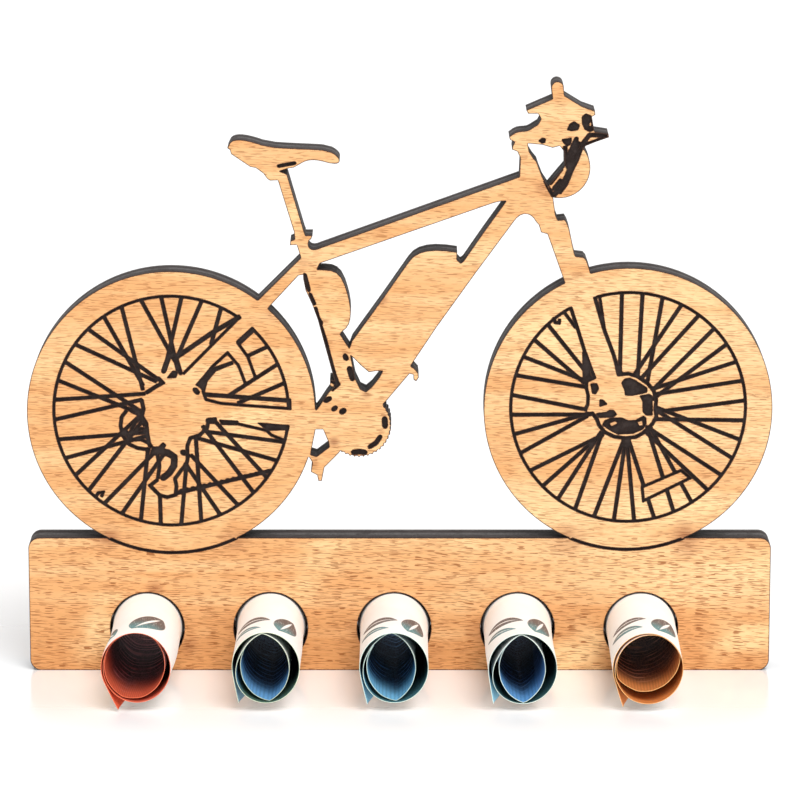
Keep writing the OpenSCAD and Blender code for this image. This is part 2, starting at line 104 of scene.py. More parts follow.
class GiftBoardNotes(bpy.types.PropertyGroup):
    thickness: bpy.props.FloatProperty(
        name="Paper thickness", description="Thickness of one sheet", default=0.14 * MM,
        min=0.05 * MM, max=0.5 * MM, unit="LENGTH", precision=5)
    tail: bpy.props.FloatProperty(
        name="Loose corner", description="Length of the corner that springs off each roll",
        default=8.2 * MM, min=0, max=12 * MM, unit="LENGTH", precision=4)
    tail_depth: bpy.props.FloatProperty(
        name="Loose corner depth", description="How far along the roll the corner is loose",
        default=10 * MM, min=1 * MM, max=20 * MM, unit="LENGTH", precision=4)
    paper: bpy.props.FloatVectorProperty(
        name="Paper", description="Colour of the unprinted paper", subtype="COLOR",
        default=linear(253, 250, 246), min=0, max=1)


class GiftBoardStage(bpy.types.PropertyGroup):
    floor_colour: bpy.props.FloatVectorProperty(
        name="Floor", description="Colour of the studio floor", subtype="COLOR",
        default=linear(250, 250, 250), min=0, max=1)
    key_strength: bpy.props.FloatProperty(
        name="Key light", description="Strength of the soft light above the front", default=2.42,
        min=0, max=20)
    fill_strength: bpy.props.FloatProperty(
        name="Side lights", description="Strength of the soft light from each side", default=0.25,
        min=0, max=20)
    room: bpy.props.FloatProperty(
        name="Room light", description="Strength of the even light all round", default=0.5,
        min=0, max=5)


# ---- node helpers --------------------------------------------------------------


# Rays that look for an edge at each point of a face
EDGE_SAMPLES = 8


class Graph:
    """Builds one material's nodes. A method's result is a socket that others can take."""

    def __init__(self, name):
        self.material = bpy.data.materials.new(name)
        self.material.use_nodes = True
        self.tree = self.material.node_tree
        self.tree.nodes.clear()
        self.shader = self.add("ShaderNodeBsdfPrincipled")
        output = self.add("ShaderNodeOutputMaterial")
        self.tree.links.new(self.shader.outputs[0], output.inputs["Surface"])
        self.position = self.add("ShaderNodeTexCoord").outputs["Object"]
        split = self.add("ShaderNodeSeparateXYZ", {0: self.position})
        self.x, self.y, self.z = split.outputs[0], split.outputs[1], split.outputs[2]

    def add(self, kind, inputs=None, **settings):
        made = self.tree.nodes.new(kind)
        for key, value in settings.items():
            setattr(made, key, value)
        for key, value in (inputs or {}).items():
            self.put(made.inputs[key], value)
        return made

    def put(self, socket, value):
        if isinstance(value, bpy.types.NodeSocket):
            self.tree.links.new(value, socket)
        elif socket.type == "RGBA" and len(value) == 3:
            socket.default_value = (*value, 1)
        else:
            socket.default_value = value

    def calc(self, operation, first, second=0.0, clamp=False):
        made = self.add("ShaderNodeMath", {0: first, 1: second}, operation=operation)
        made.use_clamp = clamp
        return made.outputs[0]

    def join(self, x, y, z):
        return self.add("ShaderNodeCombineXYZ", {0: x, 1: y, 2: z}).outputs[0]

    def stretch(self, vector, factors):
        made = self.add("ShaderNodeVectorMath", {0: vector, 1: factors}, operation="MULTIPLY")
        return made.outputs[0]

    def shift(self, vector, offset):
        return self.add("ShaderNodeVectorMath", {0: vector, 1: offset}, operation="ADD").outputs[0]

    def distance(self, vector, point):
        made = self.add("ShaderNodeVectorMath", {0: vector, 1: point}, operation="DISTANCE")
        return made.outputs["Value"]

    def noise(self, factors, detail=2.0, roughness=0.5, vector=None):
        """Noise with about as many grains a metre along x, y and z as factors says."""
        place = self.stretch(self.position if vector is None else vector, factors)
        made = self.add("ShaderNodeTexNoise", {
            "Vector": place, "Scale": 1.0, "Detail": detail, "Roughness": roughness})
        return made.outputs[0]

    def fade(self, value, low, high, start=0.0, end=1.0):
        """Goes smoothly from start to end as value goes from low to high."""
        made = self.add("ShaderNodeMapRange", {
            "Value": value, "From Min": low, "From Max": high, "To Min": start, "To Max": end},
            interpolation_type="SMOOTHSTEP")
        return made.outputs[0]

    def mix(self, factor, first, second, mode="MIX"):
        made = self.add("ShaderNodeMix", data_type="RGBA", blend_type=mode)
        self.put(made.inputs[0], factor)
        self.put(made.inputs[6], first)
        self.put(made.inputs[7], second)
        return made.outputs[2]

    def bump(self, height, distance, strength):
        inputs = {"Height": height, "Distance": distance, "Strength": strength}
        return self.add("ShaderNodeBump", inputs).outputs[0]

    def near_edge(self, width):
        """1 at an edge of the piece, falling to 0 at about width from it."""
        made = self.add("ShaderNodeAmbientOcclusion", {"Distance": width})
        made.inside = True
        made.only_local = True
        made.samples = EDGE_SAMPLES
        return self.fade(made.outputs["AO"], 0.55, 1.0, 1, 0)

    def surface(self, colour, roughness, normal=None, *, specular):
        self.put(self.shader.inputs["Base Color"], colour)
        self.put(self.shader.inputs["Roughness"], roughness)
        self.shader.inputs["Specular IOR Level"].default_value = specular
        if normal is not None:
            self.put(self.shader.inputs["Normal"], normal)
        return self.material


# ---- plywood -------------------------------------------------------------------

# Where the laser's smoke settled on the face: x, z, radius in mm, and strength
SMOKE_SPOTS = [
    (-78.5, 37, 5.5, 0.9), (-44.5, 37, 6, 0.6), (45, 36.6, 6.5, 0.8), (77, 37, 6.5, 1.0),
    (-66, 22.8, 3.4, 0.9), (-46, 13, 3, 0.4), (-12, 12, 4, 0.6), (21.5, 11, 5, 0.6),
    (-57, 7, 4, 0.5), (9.5, 4, 4, 0.4), (37.5, 132.6, 2.6, 0.8), (-4.4, 102.6, 2.2, 0.8),
    (-17.6, 63.6, 2.2, 0.9), (-9, 76.6, 2, 0.8), (-34, 98.6, 3, 0.5), (-22.8, 57.4, 1.6, 0.7),
    (12.4, 129, 2.2, 0.3), (41, 130.5, 2, 0.4), (-25.5, 112.5, 2.4, 0.4), (56, 12, 3, 0.35),
]


def char_colour(graph, char, lift):
    """Burnt wood with paler ash-grey streaks; below the tops of the holes for the notes it is
    plain dark char, the streaks left out as painted shade.
    """
    along = graph.noise((420, 2600, 420), detail=3)
    through = graph.noise((2300, 260, 2300), detail=2)
    blotch = graph.noise((260, 260, 260), detail=2)
    ash = tuple(min(1.0, channel * 1.4 + 0.75 * lift + 0.012) for channel in char)
    ground = tuple(min(1.0, channel + 0.6 * lift) for channel in char)
    tone = graph.mix(graph.fade(along, 0.42, 0.66, 0, 0.9), ground, ash)
    tone = graph.mix(graph.fade(through, 0.5, 0.7, 0, 0.6), tone, ash)
    tone = graph.mix(graph.fade(blotch, 0.5, 0.72, 0, 0.5), tone, char)
    # Painted shade: the char is real, but below the tops of the holes it loses its pale streaks so
    # the gap round each note stays dark
    above_holes = graph.fade(graph.z, HOLE_TOP, BASE_TOP - 4 * MM)
    return graph.mix(above_holes, char, tone)


def beech_colour(graph, wood):
    """Beech with short thin ray flecks along its grain, and painted shade toward its left end and
    low on the base: its colour, the flecks, the fibre.
    """
    low = graph.noise((16, 8, 42), detail=2, roughness=0.6)
    sway = graph.calc("MULTIPLY", graph.calc("SUBTRACT", low, 0.5), 3.4 * MM)
    slope = graph.calc("MULTIPLY", graph.x, 0.03)
    lie = graph.calc("ADD", graph.z, graph.calc("ADD", sway, slope))
    grain = graph.join(graph.x, graph.calc("MULTIPLY", graph.y, 3), lie)

    bands = graph.noise((9, 10, 150), detail=3, roughness=0.55, vector=grain)
    patches = graph.noise((34, 10, 60), detail=2)
    # Painted shade: the wood turns warmer and darker toward the left end of the board
    painted_shade_and_grain = graph.fade(graph.x, -HALF_BASE, HALF_BASE, 0.32, -0.12)
    # Painted shade low on the base, below and between the notes
    painted_foot_shade = graph.fade(graph.z, 3 * MM, 25 * MM, 0.75, 0)
    painted_shade_and_grain = graph.calc("ADD", painted_shade_and_grain, painted_foot_shade)
    painted_shade_and_grain = graph.calc("ADD", graph.fade(bands, 0.34, 0.68), painted_shade_and_grain, clamp=True)
    tone = graph.mix(painted_shade_and_grain, wood.light_beech, wood.warm_beech)
    # Painted shade: at the foot of the base the wood darkens to a deep brown
    painted_shade_beech = tuple(channel * share for channel, share in zip(wood.warm_beech, (0.76, 0.64, 0.5)))
    tone = graph.mix(graph.calc("MULTIPLY", painted_foot_shade, painted_shade_and_grain), tone, painted_shade_beech)
    bright = tuple(min(1.0, channel * 1.16) for channel in wood.light_beech)
    tone = graph.mix(graph.fade(patches, 0.5, 0.72, 0, 0.75), tone, bright)

    fibre = graph.noise((150, 60, 2600), detail=2, roughness=0.6, vector=grain)
    tone = graph.mix(graph.fade(fibre, 0.42, 0.68, 0, 0.4), tone, wood.warm_beech)

    per_metre = 1.0 / wood.fleck_length
    density = graph.noise((45, 20, 60), detail=1)
    threshold = graph.fade(density, 0.3, 0.7, 0.63, 0.595)
    fine = graph.noise((per_metre, 90, 3900), detail=0.3, vector=grain)
    coarse_grain = graph.shift(grain, (0.31, 0.07, 0.13))
    coarse = graph.noise((per_metre * 0.9, 90, 3700), detail=0.3, vector=coarse_grain)
    fine_mark = graph.fade(graph.calc("SUBTRACT", fine, threshold), 0.0, 0.04)
    coarse_mark = graph.fade(graph.calc("SUBTRACT", coarse, threshold), 0.0, 0.045)
    in_base = graph.fade(graph.z, BASE_TOP - 4 * MM, BASE_TOP, 1, 0.45)
    coarse_mark = graph.calc("MULTIPLY", coarse_mark, in_base)
    marks = graph.calc("MAXIMUM", graph.calc("MULTIPLY", fine_mark, 0.7), coarse_mark)
    return graph.mix(graph.calc("MULTIPLY", marks, 0.85), tone, wood.fleck), marks, fibre


def smoke_amount(graph):
    """How much smoke stains the face, summed over the spots and broken up a little."""
    flat = graph.join(graph.x, 0.0, graph.z)
    ragged = graph.noise((150, 0, 420), detail=3)
    total = None
    for x, z, radius, strength in SMOKE_SPOTS:
        away = graph.distance(flat, (x * MM, 0, z * MM))
        spot = graph.fade(away, 0.1 * radius * MM, radius * MM, strength, 0)
        total = spot if total is None else graph.calc("MAXIMUM", total, spot)
    return graph.calc("MULTIPLY", total, graph.fade(ragged, 0.25, 0.75, 0.45, 1.1), clamp=True)


def veneer_material(wood, name, outer_y, smoked, lift):
    """Beech on the outer face, char in the engraved lines and on the cut edge.

    Lift is how much paler than the plain char the cut edge is.
    """
    graph = Graph(name)
    beech, marks, fibre = beech_colour(graph, wood)
    if smoked:
        stained = graph.mix(0.6, beech, wood.smoke, "MULTIPLY")
        beech = graph.mix(smoke_amount(graph), beech, stained)
    ragged = graph.noise((1500, 0, 1500), detail=2)
    rim = graph.near_edge(wood.scorch_width)
    rim = graph.calc("ADD", rim, graph.calc("MULTIPLY", graph.calc("SUBTRACT", ragged, 0.5), 0.5))
    browned = graph.mix(0.8, beech, wood.smoke, "MULTIPLY")
    beech = graph.mix(graph.fade(rim, 0.12, 0.5), beech, browned)
    beech = graph.mix(graph.fade(rim, 0.46, 0.66, 0, 0.92), beech, wood.char)
    burnt = char_colour(graph, wood.char, lift)
    groove = char_colour(graph, wood.char, 0.0)
    below = graph.calc("ABSOLUTE", graph.calc("SUBTRACT", graph.y, outer_y))
    past_groove = graph.fade(below, GROOVE_DEPTH - 0.04 * MM, GROOVE_DEPTH + 0.06 * MM)
    burnt = graph.mix(past_groove, groove, burnt)
    char_part = graph.fade(below, 0.02 * MM, 0.06 * MM)
    colour = graph.mix(char_part, beech, burnt)
    rough = graph.calc("ADD", graph.calc("MULTIPLY", marks, 0.12), 0.5)
    rough = graph.calc("ADD", rough, graph.calc("MULTIPLY", char_part, 0.25))
    grain_height = graph.calc("SUBTRACT", fibre, graph.calc("MULTIPLY", marks, 0.7))
    grit = graph.noise((2400, 500, 2400), detail=2)
    height = graph.add("ShaderNodeMix", data_type="FLOAT")
    graph.put(height.inputs[0], char_part)
    graph.put(height.inputs[2], grain_height)
    graph.put(height.inputs[3], graph.calc("MULTIPLY", grit, 2.5))
    normal = graph.bump(height.outputs[0], 0.03 * MM, 0.6)
    return graph.surface(colour, rough, normal, specular=0.28)


def ply_material(wood, name, lift):
    """The burnt edge of an inner ply, with end-grain pores."""
    graph = Graph(name)
    burnt = char_colour(graph, wood.char, lift)
    pores = graph.noise((1500, 1500, 1500), detail=2)
    colour = graph.mix(graph.fade(pores, 0.3, 0.5, 0.5, 0), burnt, (0.003, 0.002, 0.002))
    grit = graph.noise((2400, 500, 2400), detail=2)
    normal = graph.bump(graph.calc("ADD", grit, pores), 0.08 * MM, 0.7)
    return graph.surface(colour, 0.78, normal, specular=0.25)


class GiftBoardFinishPlywood(bpy.types.Operator):
    """Give the five plies their beech faces, engraved char and burnt edges"""
    bl_idname = "gift_board.finish_plywood"
    bl_label = "Finish Plywood"

    def execute(self, context):
        wood = context.scene.gift_board_wood
        finishes = {
            "front_veneer": veneer_material(wood, "engraved_beech", FRONT_Y, True, 0.012),
            "front_cross_ply": ply_material(wood, "burnt_cross_ply_front", 0.05),
            "core_ply": ply_material(wood, "burnt_core_ply", 0.115),
            "rear_cross_ply": ply_material(wood, "burnt_cross_ply_rear", 0.025),
            "back_veneer": veneer_material(wood, "plain_beech", BACK_Y, False, 0.13),
        }
        for node, finish in finishes.items():
            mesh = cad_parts[node].data
            mesh.materials.clear()
            mesh.materials.append(finish)
        return {"FINISHED"}


# ---- rolled notes --------------------------------------------------------------

# How each note is wound and printed. Angles are in degrees, seen from the front, and turn
# from the right-hand side up. Dents are how far the inner turn leaves the outer one, in mm,
# squeeze is the roll's width for its height, and lean is where its mouth drifts to, in mm.
# Rim, tail and layer colour the cut edge, the loose corner and the gap between two turns.
# Inside is the inner print's middle and dark tone, and its light tone, which is the print's colour
# painted paler as lit near the mouth. Band is the share of the sheet that a pale strip covers.
# Hatch makes the inner lines finer, and motif picks the leaves.
NOTES = [
    dict(start=205, turns=2.12, dents=[(-24, 1.5), (196, 0.5)], squeeze=0.955,
         lean=(-0.95, 0.4), rim=(232, 118, 84), tail=(206, 84, 56), layer=(206, 92, 62),
         inside=[(92, 56, 58), (46, 26, 30), (208, 96, 66)], band=(0.52, 0.6),
         slot="red_note_paper", body="note_1", hatch=True, motif=0),
    dict(start=190, turns=2.2, dents=[(6, 2.7), (186, 2.0)], squeeze=0.93,
         lean=(-0.25, 0.4), rim=(206, 218, 190), tail=(128, 160, 178), layer=(70, 96, 62),
         inside=[(44, 66, 88), (16, 26, 40), (112, 168, 212)], band=(0.66, 0.72),
         slot="blue_note_paper", body="note_2", hatch=False, motif=1),
    dict(start=192, turns=2.16, dents=[(4, 3.3), (184, 1.6)], squeeze=0.945,
         lean=(0.0, 0.4), rim=(200, 222, 210), tail=(120, 170, 196), layer=(52, 96, 92),
         inside=[(48, 74, 96), (18, 32, 48), (122, 184, 216)], band=(0.68, 0.75),
         slot="blue_note_paper", body="note_3", hatch=False, motif=1),
    dict(start=188, turns=2.24, dents=[(2, 3.0), (182, 2.6)], squeeze=0.945,
         lean=(0.4, 0.0), rim=(212, 228, 216), tail=(150, 204, 228), layer=(50, 88, 80),
         inside=[(40, 60, 84), (16, 24, 38), (106, 164, 214)], band=(0.7, 0.76),
         slot="blue_note_paper", body="note_4", hatch=False, motif=1),
    dict(start=196, turns=2.1, dents=[(-70, 3.0), (160, 0.7)], squeeze=0.965,
         lean=(-0.1, 0.1), rim=(236, 176, 112), tail=(228, 142, 84), layer=(214, 126, 58),
         inside=[(104, 72, 54), (52, 32, 26), (206, 130, 72)], band=(0.54, 0.6),
         slot="orange_note_paper", body="note_5", hatch=False, motif=2),
]
LEAN_DEPTH = 24 * MM

# From this depth each sheet springs out to fill its hole: over how long a run, and how far
SPREAD_DEPTH, SPREAD_RUN, SPREAD_GAIN = 39 * MM, 6 * MM, 0.25 * MM

# How far the mouth's edge wavers, and how far its inner turns sink behind the outer one
MOUTH_WAVER, MOUTH_SINK = 0.35 * MM, 0.9 * MM

OUTSIDE, INSIDE, EDGE = 0, 1, 2
SPIRAL_STEPS = 190
TAIL_STEPS = 14
LENGTH_STEPS = 34


def smooth(value):
    value = min(1.0, max(0.0, value))
    return value * value * (3 - 2 * value)


def wound_radius(angle, note, radius, thickness):
    """Radius of the sheet's middle after winding through angle, in degrees from its start."""
    seen = note["start"] - angle
    turn = angle / 360
    # Past each full turn the sheet lies a little more than its own thickness deeper
    layer = radius - thickness * 0.55 - 1.35 * thickness * smooth((turn - 0.72) / 0.28)
    layer -= 1.3 * thickness * smooth((turn - 1.75) / 0.25)
    dent = 0.0
    for centre, depth in note["dents"]:
        off = math.radians((seen - centre + 180) % 360 - 180)
        if abs(off) < math.pi / 2:
            near = radius - depth * MM
            bow = (near * near + radius * radius) / (2 * near)
            back = bow - near
            reach = math.sqrt(bow * bow - (back * math.sin(off)) ** 2) - back * math.cos(off)
            dent += radius - reach
    inner = smooth((turn - 0.86) / 0.34)
    ripple = 0.05 * MM * math.sin(math.radians(5 * seen + 40)) * inner
    return layer - dent * inner - abs(ripple)


def section(note, radius, thickness, looseness, tail, width):
    """Middle line of the sheet in a plane across the roll, from its outer edge inward."""
    start = math.radians(note["start"])
    base_radius = wound_radius(0, note, radius, thickness)
    outward = Vector((math.cos(start), math.sin(start)))
    heading = Vector((-math.sin(start), math.cos(start)))
    points = []
    # A loose corner keeps only a little of the roll's curl
    curl = 1 / base_radius * (1 - 0.93 * looseness)
    for step in range(TAIL_STEPS, 0, -1):
        turned = curl * tail * step / TAIL_STEPS
        ahead = math.sin(turned) / curl
        inward = (1 - math.cos(turned)) / curl
        points.append(outward * base_radius + heading * ahead - outward * inward)
    sweep = note["turns"] * 360
    for step in range(SPIRAL_STEPS + 1):
        angle = sweep * step / SPIRAL_STEPS
        seen = math.radians(note["start"] - angle)
        reach = wound_radius(angle, note, radius, thickness)
        points.append(Vector((math.cos(seen), math.sin(seen))) * reach)
    return [Vector((point.x * width, point.y)) for point in points]


def roll_mesh(name, note, low, high, notes):
    """A closed sheet of paper wound into a roll between two corners of its CAD box."""
    centre = (low + high) / 2
    length = high.y - low.y
    columns = TAIL_STEPS + SPIRAL_STEPS + 1
    inner, outer, flat = [], [], []
    for row in range(LENGTH_STEPS + 1):
        share = (row / LENGTH_STEPS) ** 1.5
        depth = share * length
        looseness = 1 - smooth(depth / notes.tail_depth)
        spread = smooth((depth - SPREAD_DEPTH) / SPREAD_RUN)
        radius = NOTE_RADIUS + SPREAD_GAIN * spread
        width = note["squeeze"] + (1 - note["squeeze"]) * spread
        line = section(note, radius, notes.thickness, looseness, notes.tail, width)
        drift = [way * MM * smooth(1 - depth / LEAN_DEPTH) for way in note["lean"]]
        for column, point in enumerate(line):
            before = line[max(column - 1, 0)]
            after = line[min(column + 1, columns - 1)]
            along = (after - before).normalized()
            normal = Vector((-along.y, along.x)) * notes.thickness / 2
            waver = MOUTH_WAVER * (math.sin(column * 0.031 + note["start"]) + 1)
            recess = MOUTH_SINK * smooth((column / columns - 0.45) / 0.3) * (1 - share)
            y = low.y + depth + recess + waver * (1 - share) ** 2
            place = Vector((centre.x + point.x + drift[0], y, centre.z + point.y + drift[1]))
            side = Vector((normal.x, 0, normal.y))
            outer.append(place + side)
            inner.append(place - side)
            flat.append((column / (columns - 1), depth))
    count = len(outer)
    vertices = outer + inner
    faces, kinds = [], []

    def quad(a, b, c, d, kind):
        faces.append((a, b, c, d))
        kinds.append(kind)

    for row in range(LENGTH_STEPS):
        for column in range(columns - 1):
            a = row * columns + column
            b = a + 1
            c = a + columns + 1
            d = a + columns
            quad(a, b, c, d, OUTSIDE)
            quad(count + a, count + d, count + c, count + b, INSIDE)
        a = row * columns
        d = a + columns
        quad(a, d, count + d, count + a, EDGE)
        a += columns - 1
        d += columns - 1
        quad(a, count + a, count + d, d, EDGE)
    for column in range(columns - 1):
        a = column
        quad(a, count + a, count + a + 1, a + 1, EDGE)
        a = LENGTH_STEPS * columns + column
        quad(a, a + 1, count + a + 1, count + a, EDGE)
    mesh = bpy.data.meshes.new(name)
    mesh.from_pydata([tuple(v) for v in vertices], [], faces)
    mesh.polygons.foreach_set("material_index", kinds)
    layer = mesh.uv_layers.new(name="sheet")
    for loop in mesh.loops:
        layer.data[loop.index].uv = flat[loop.vertex_index % count]
    mesh.polygons.foreach_set("use_smooth", [kind != EDGE for kind in kinds])
    mesh.update()
    return mesh


def sheet_position(graph):
    """How far round the sheet from its outer edge, as a share, and how far from the mouth."""
    uv = graph.add("ShaderNodeUVMap", uv_map="sheet").outputs[0]
    split = graph.add("ShaderNodeSeparateXYZ", {0: uv})
    return split.outputs[0], split.outputs[1]


def disc(graph, across, along, centre, radius):
    """1 inside a circle on the flat sheet and 0 outside. Sizes are in mm."""
    point = graph.join(across, along, 0.0)
    reach = graph.distance(point, (centre[0], centre[1], 0.0))
    return graph.fade(reach, radius - 0.15, radius + 0.15, 1, 0)


def leaf(graph, across, along, centre, half_width, half_length, tilt):
    """1 inside a pointed leaf, where two equal circles cross. Its tilt is in degrees."""
    radius = (half_length ** 2 + half_width ** 2) / (2 * half_width)
    turned = math.radians(tilt)
    away = Vector((math.cos(turned), math.sin(turned))) * (radius - half_width)
    middle = Vector(centre)
    one = disc(graph, across, along, middle + away, radius)
    other = disc(graph, across, along, middle - away, radius)
    return graph.calc("MULTIPLY", one, other)


# Leaves printed on the paper's outer face: the angle round the roll, the distance from the
# mouth, half the width and half the length in mm, and the tilt.
MOTIFS = [
    [(140, 12.0, 2.6, 7.6, 22), (70, 12.0, 4.4, 8.4, -26)],
    [(112, 15.6, 2.6, 6.4, 66), (122, 9.0, 1.6, 6.4, 54), (48, 12.6, 3.6, 8.6, -14)],
    [(118, 15.8, 2.3, 5.8, 78), (124, 9.4, 2.1, 6.2, 62), (52, 12.2, 3.9, 8.4, -18)],
]


# The leaves stay on the outermost turn, which is a little more than once round, in radians
PRINTED_ARC = 6.6


def outer_paper(note, notes, arc_length):
    """Pale printed paper with leaf shapes that fade from brown to teal toward the mouth."""
    graph = Graph(f"{note['body']}_outer_print")
    share, depth = sheet_position(graph)
    across = graph.calc("MULTIPLY", share, arc_length / MM)
    along = graph.calc("MULTIPLY", depth, 1 / MM)
    ink = None
    for angle, reach, half_width, half_length, tilt in MOTIFS[note["motif"]]:
        turned = math.radians(note["start"] - angle)
        centre = (notes.tail / MM + turned * NOTE_RADIUS / MM, reach)
        blade = leaf(graph, across, along, centre, half_width, half_length, tilt)
        vein = leaf(graph, across, along, centre, 0.12 * half_width, 0.8 * half_length, tilt)
        blade = graph.calc("MULTIPLY", blade, graph.calc("SUBTRACT", 1.0, vein))
        ink = blade if ink is None else graph.calc("MAXIMUM", ink, blade)
    shown = notes.tail + PRINTED_ARC * NOTE_RADIUS
    first_turn = graph.calc("LESS_THAN", share, shown / arc_length)
    ink = graph.calc("MULTIPLY", ink, first_turn)
    teal = linear(70, 128, 132)
    brown = linear(88, 70, 64)
    print_colour = graph.mix(graph.fade(along, 6, 15), teal, brown)
    hatch = graph.noise((3600, 500, 3600), detail=2)
    print_colour = graph.mix(graph.fade(hatch, 0.5, 0.72, 0, 0.22), print_colour, notes.paper)
    tooth = graph.noise((5200, 5200, 5200), detail=2)
    cloud = graph.noise((90, 60, 90), detail=2)
    paper = graph.mix(graph.fade(cloud, 0.35, 0.7, 0, 0.4), notes.paper, linear(248, 238, 228))
    colour = graph.mix(graph.calc("MULTIPLY", ink, 0.95), paper, print_colour)
    normal = graph.bump(graph.calc("ADD", tooth, graph.calc("MULTIPLY", cloud, 3)), 0.02 * MM, 0.5)
    return graph.surface(colour, 0.62, normal, specular=0.3)


def inner_paper(note, notes, arc_length):
    """Dense printing inside the roll with fine waved lines, and painted light that makes it paler
    by the mouth.
    """
    graph = Graph(f"{note['body']}_inner_print")
    share, depth = sheet_position(graph)
    mid, dark, light = (linear(*colour) for colour in note["inside"])
    mid = tuple(channel * 2.6 for channel in mid)
    dark = tuple(channel * 3.0 for channel in dark)
    pale_mid = tuple(min(1.0, channel * 2.2 + 0.03) for channel in mid)
    faded = tuple(channel * 0.62 for channel in light)
    wander = graph.noise((160, 60, 160), detail=2)
    reach = graph.calc("ADD", depth, graph.calc("MULTIPLY", wander, 14 * MM))
    # Painted light: toward the mouth, where light comes into the roll, the print turns to its
    # paler tone
    painted_mouth_light = graph.fade(reach, 9 * MM, 27 * MM, 1, 0)
    speckle = graph.noise((2600, 900, 2600), detail=3)
    lie = graph.join(share, depth, 0.0)
    wavy = graph.add("ShaderNodeTexWave", {
        "Vector": graph.stretch(lie, (0.5, 16, 1)), "Scale": 5.2, "Distortion": 9.0,
        "Detail": 2.5, "Detail Scale": 1.4}, wave_type="BANDS", bands_direction="Y",
        wave_profile="SIN").outputs[1]
    tone = graph.mix(graph.fade(speckle, 0.35, 0.7), dark, mid)
    lined = graph.fade(wander, 0.42, 0.62, 0.1, 0.9)
    lines = graph.calc("MULTIPLY", graph.fade(wavy, 0.7, 0.95), lined)
    tone = graph.mix(lines, tone, pale_mid)
    comb = graph.add("ShaderNodeTexWave", {
        "Vector": lie, "Scale": 70 if note["hatch"] else 34, "Distortion": 0.8},
        wave_type="BANDS", bands_direction="X", wave_profile="SIN").outputs[1]
    print_in_painted_light = graph.mix(graph.fade(comb, 0.35, 0.85, 0, 0.55), light, faded)
    print_in_painted_light = graph.mix(graph.fade(speckle, 0.5, 0.75, 0, 0.5), print_in_painted_light, faded)
    # Painted light from the mouth laid over the print
    tone = graph.mix(painted_mouth_light, tone, print_in_painted_light)
    first, last = note["band"]
    band = graph.calc("MULTIPLY", graph.fade(share, first, first + 0.008),
                      graph.fade(share, last, last + 0.008, 1, 0))
    tone = graph.mix(graph.calc("MULTIPLY", band, 0.45), tone, pale_mid)
    between = graph.mix(graph.fade(speckle, 0.3, 0.7, 0, 0.5), linear(*note["layer"]), mid)
    tone = graph.mix(graph.fade(share, 0.44, 0.5), between, tone)
    corner = (notes.tail + 1.5 * MM) / arc_length
    on_corner = graph.fade(share, corner * 0.9, corner * 1.2, 1, 0)
    tone = graph.mix(on_corner, tone, linear(*note["tail"]))
    normal = graph.bump(speckle, 0.02 * MM, 0.4)
    return graph.surface(tone, 0.72, normal, specular=0.08)


def paper_edge(note):
    """Cut edge of the sheet, tinted by its printing."""
    graph = Graph(f"{note['body']}_cut_edge")
    fibre = graph.noise((3000, 3000, 3000), detail=2)
    tint = linear(*note["rim"])
    pale = tuple(min(1, channel * 1.25) for channel in tint)
    colour = graph.mix(graph.fade(fibre, 0.3, 0.7), tint, pale)
    return graph.surface(colour, 0.7, graph.bump(fibre, 0.02 * MM, 0.4), specular=0.2)


class GiftBoardRollNotes(bpy.types.Operator):
    """Wind five printed paper notes and put one in each hole of the base"""
    bl_idname = "gift_board.roll_notes"
    bl_label = "Roll Notes"

    def execute(self, context):
        notes = context.scene.gift_board_notes
        for node, note in zip(NOTE_NODES, NOTES):
            low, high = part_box(node)
            mesh = roll_mesh(f"{node}_sheet", note, low, high, notes)
            arc_length = notes.tail + note["turns"] * 2 * math.pi * NOTE_RADIUS
            mesh.materials.append(outer_paper(note, notes, arc_length))
            mesh.materials.append(inner_paper(note, notes, arc_length))
            mesh.materials.append(paper_edge(note))
            piece = bpy.data.objects.new(f"{node}_sheet", mesh)
            context.scene.collection.objects.link(piece)
            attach(piece, note["body"])
            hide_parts(node)
        return {"FINISHED"}


# ---- stage ---------------------------------------------------------------------

FLOOR_HALF = 4.0
CAMERA_PLACE = (0.0001, -1.1992, 0.3487)
CAMERA_TILT = math.radians(12.9)
CAMERA_LENS, CAMERA_SENSOR = 206.3, 36


def soft_sun(context, name, way, strength, softness):
    """A broad even light that shines from the direction way. Softness is in degrees."""
    data = bpy.data.lights.new(name, "SUN")
    data.energy = strength
    data.angle = math.radians(softness)
    lamp = bpy.data.objects.new(name, data)
    lamp.rotation_euler = Vector(way).to_track_quat("Z", "Y").to_euler()
    context.scene.collection.objects.link(lamp)


def floor_material(stage):
    """White studio floor that mirrors the board softly, and less the farther away it is."""
    graph = Graph("studio_floor")
    graph.shader.inputs["IOR"].default_value = 2.7
    cloud = graph.noise((3, 3, 3), detail=2)
    colour = graph.mix(graph.fade(cloud, 0.3, 0.7, 0, 0.3), stage.floor_colour, (0.93, 0.93, 0.93))
    away = graph.calc("ABSOLUTE", graph.y)
    roughness = graph.fade(away, 22 * MM, 82 * MM, 0.14, 0.8)
    return graph.surface(colour, roughness, specular=0.5)


def white_room(strength):
    """An even white room. It shows and reflects as plain white, whatever light it gives."""
    world = bpy.data.worlds.new("studio")
    world.use_nodes = True
    tree = world.node_tree
    background = tree.nodes["Background"]
    background.inputs[0].default_value = (1, 1, 1, 1)
    path = tree.nodes.new("ShaderNodeLightPath")
    seen = tree.nodes.new("ShaderNodeMath")
    seen.operation = "MAXIMUM"
    tree.links.new(path.outputs["Is Camera Ray"], seen.inputs[0])
    tree.links.new(path.outputs["Is Glossy Ray"], seen.inputs[1])
    level = tree.nodes.new("ShaderNodeMapRange")
    tree.links.new(seen.outputs[0], level.inputs["Value"])
    level.inputs["To Min"].default_value = strength
    level.inputs["To Max"].default_value = 1.0
    tree.links.new(level.outputs[0], background.inputs[1])
    return world


